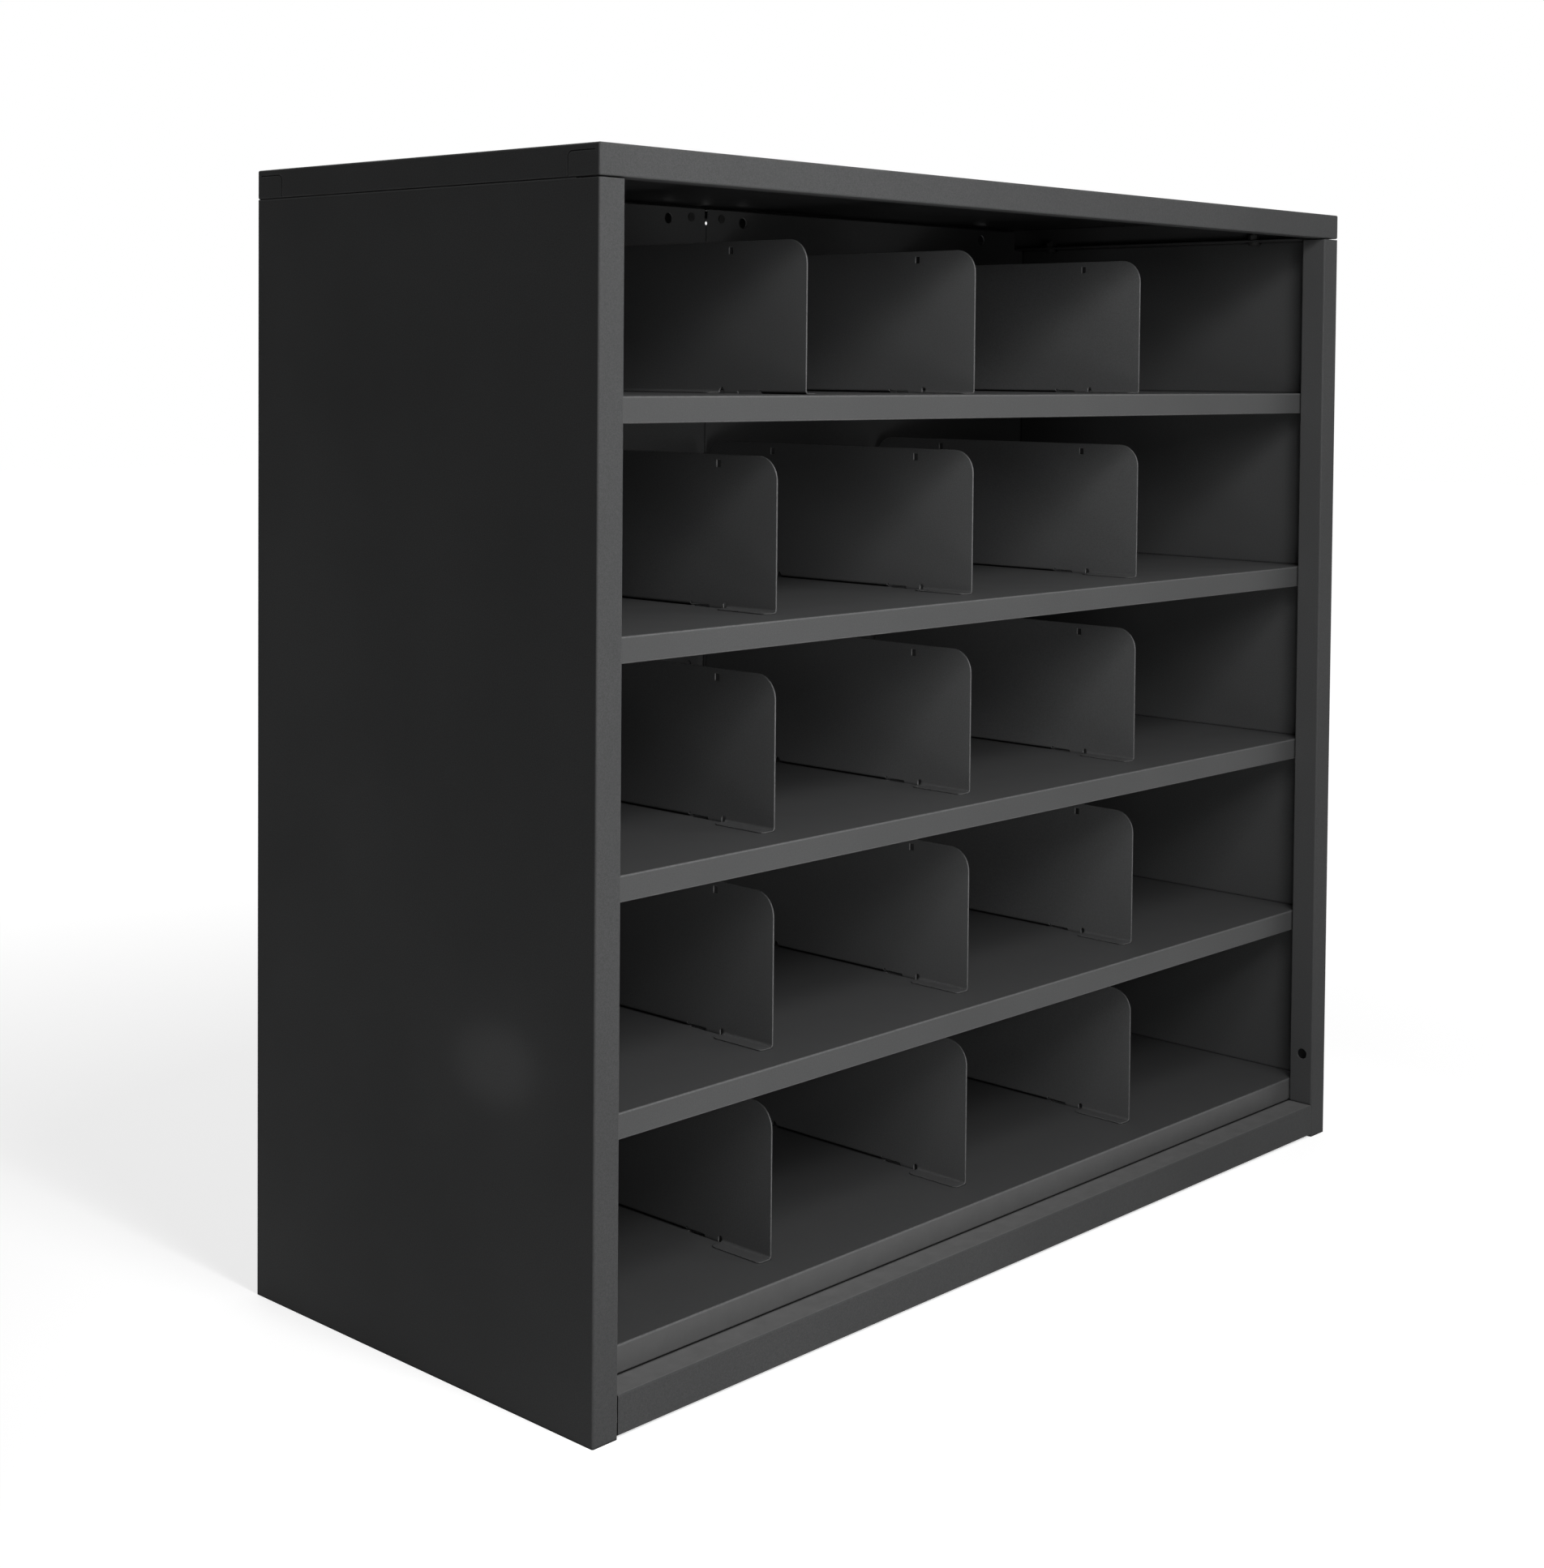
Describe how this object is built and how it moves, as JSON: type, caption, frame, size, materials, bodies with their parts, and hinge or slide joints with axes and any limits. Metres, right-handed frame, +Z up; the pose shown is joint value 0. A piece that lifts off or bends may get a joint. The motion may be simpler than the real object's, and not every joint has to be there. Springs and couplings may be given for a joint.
{
  "type": "pigeonhole mail sorter",
  "caption": "Free-standing steel pigeonhole mail sorter: open-front case with folded posts, fixed lipped shelves and slot-in sheet dividers that lift out.",
  "frame": {"origin": "on the floor under the middle of the case", "axes": "+Z up, the open front faces -Y, width along X"},
  "size_m": [1, 0.41, 0.925],
  "materials": {
    "case_paint": "satin fine-textured charcoal powder coat",
    "shelf_paint": "satin fine-textured charcoal powder coat",
    "back_paint": "satin fine-textured charcoal powder coat",
    "divider_paint": "satin fine-textured charcoal powder coat",
    "fastener_black": "black oxide and paint"
  },
  "bodies": {
    "case": {"top_panel": "case_paint", "side_panel_left": "case_paint", "side_panel_right": "case_paint", "plinth_front": "case_paint", "plinth_rear": "case_paint", "bottom_deck": "shelf_paint", "shelf_1": "shelf_paint", "shelf_2": "shelf_paint", "shelf_3": "shelf_paint", "shelf_4": "shelf_paint", "back_panel_left": "back_paint", "back_panel_right": "back_paint", "back_seam_strip": "back_paint", "back_rivets": "fastener_black", "top_screws": "fastener_black", "top_nuts": "fastener_black"},
    "divider_deck_1_body": {"divider_deck_1": "divider_paint"},
    "divider_deck_2_body": {"divider_deck_2": "divider_paint"},
    "divider_deck_3_body": {"divider_deck_3": "divider_paint"},
    "divider_shelf_4_1_body": {"divider_shelf_4_1": "divider_paint"},
    "divider_shelf_4_2_body": {"divider_shelf_4_2": "divider_paint"},
    "divider_shelf_4_3_body": {"divider_shelf_4_3": "divider_paint"},
    "divider_shelf_3_1_body": {"divider_shelf_3_1": "divider_paint"},
    "divider_shelf_3_2_body": {"divider_shelf_3_2": "divider_paint"},
    "divider_shelf_3_3_body": {"divider_shelf_3_3": "divider_paint"},
    "divider_shelf_2_1_body": {"divider_shelf_2_1": "divider_paint"},
    "divider_shelf_2_2_body": {"divider_shelf_2_2": "divider_paint"},
    "divider_shelf_2_3_body": {"divider_shelf_2_3": "divider_paint"},
    "divider_shelf_1_1_body": {"divider_shelf_1_1": "divider_paint"},
    "divider_shelf_1_2_body": {"divider_shelf_1_2": "divider_paint"},
    "divider_shelf_1_3_body": {"divider_shelf_1_3": "divider_paint"}
  },
  "joints": [
    {"name": "lift_deck_1", "type": "slide", "parent": "case", "child": "divider_deck_1_body", "axis": [0, 0, 1], "range_m": [0, 0.025]},
    {"name": "lift_deck_2", "type": "slide", "parent": "case", "child": "divider_deck_2_body", "axis": [0, 0, 1], "range_m": [0, 0.025]},
    {"name": "lift_deck_3", "type": "slide", "parent": "case", "child": "divider_deck_3_body", "axis": [0, 0, 1], "range_m": [0, 0.025]},
    {"name": "lift_shelf_4_1", "type": "slide", "parent": "case", "child": "divider_shelf_4_1_body", "axis": [0, 0, 1], "range_m": [0, 0.025]},
    {"name": "lift_shelf_4_2", "type": "slide", "parent": "case", "child": "divider_shelf_4_2_body", "axis": [0, 0, 1], "range_m": [0, 0.025]},
    {"name": "lift_shelf_4_3", "type": "slide", "parent": "case", "child": "divider_shelf_4_3_body", "axis": [0, 0, 1], "range_m": [0, 0.025]},
    {"name": "lift_shelf_3_1", "type": "slide", "parent": "case", "child": "divider_shelf_3_1_body", "axis": [0, 0, 1], "range_m": [0, 0.025]},
    {"name": "lift_shelf_3_2", "type": "slide", "parent": "case", "child": "divider_shelf_3_2_body", "axis": [0, 0, 1], "range_m": [0, 0.025]},
    {"name": "lift_shelf_3_3", "type": "slide", "parent": "case", "child": "divider_shelf_3_3_body", "axis": [0, 0, 1], "range_m": [0, 0.025]},
    {"name": "lift_shelf_2_1", "type": "slide", "parent": "case", "child": "divider_shelf_2_1_body", "axis": [0, 0, 1], "range_m": [0, 0.025]},
    {"name": "lift_shelf_2_2", "type": "slide", "parent": "case", "child": "divider_shelf_2_2_body", "axis": [0, 0, 1], "range_m": [0, 0.025]},
    {"name": "lift_shelf_2_3", "type": "slide", "parent": "case", "child": "divider_shelf_2_3_body", "axis": [0, 0, 1], "range_m": [0, 0.025]},
    {"name": "lift_shelf_1_1", "type": "slide", "parent": "case", "child": "divider_shelf_1_1_body", "axis": [0, 0, 1], "range_m": [0, 0.025]},
    {"name": "lift_shelf_1_2", "type": "slide", "parent": "case", "child": "divider_shelf_1_2_body", "axis": [0, 0, 1], "range_m": [0, 0.025]},
    {"name": "lift_shelf_1_3", "type": "slide", "parent": "case", "child": "divider_shelf_1_3_body", "axis": [0, 0, 1], "range_m": [0, 0.025]}
  ]
}
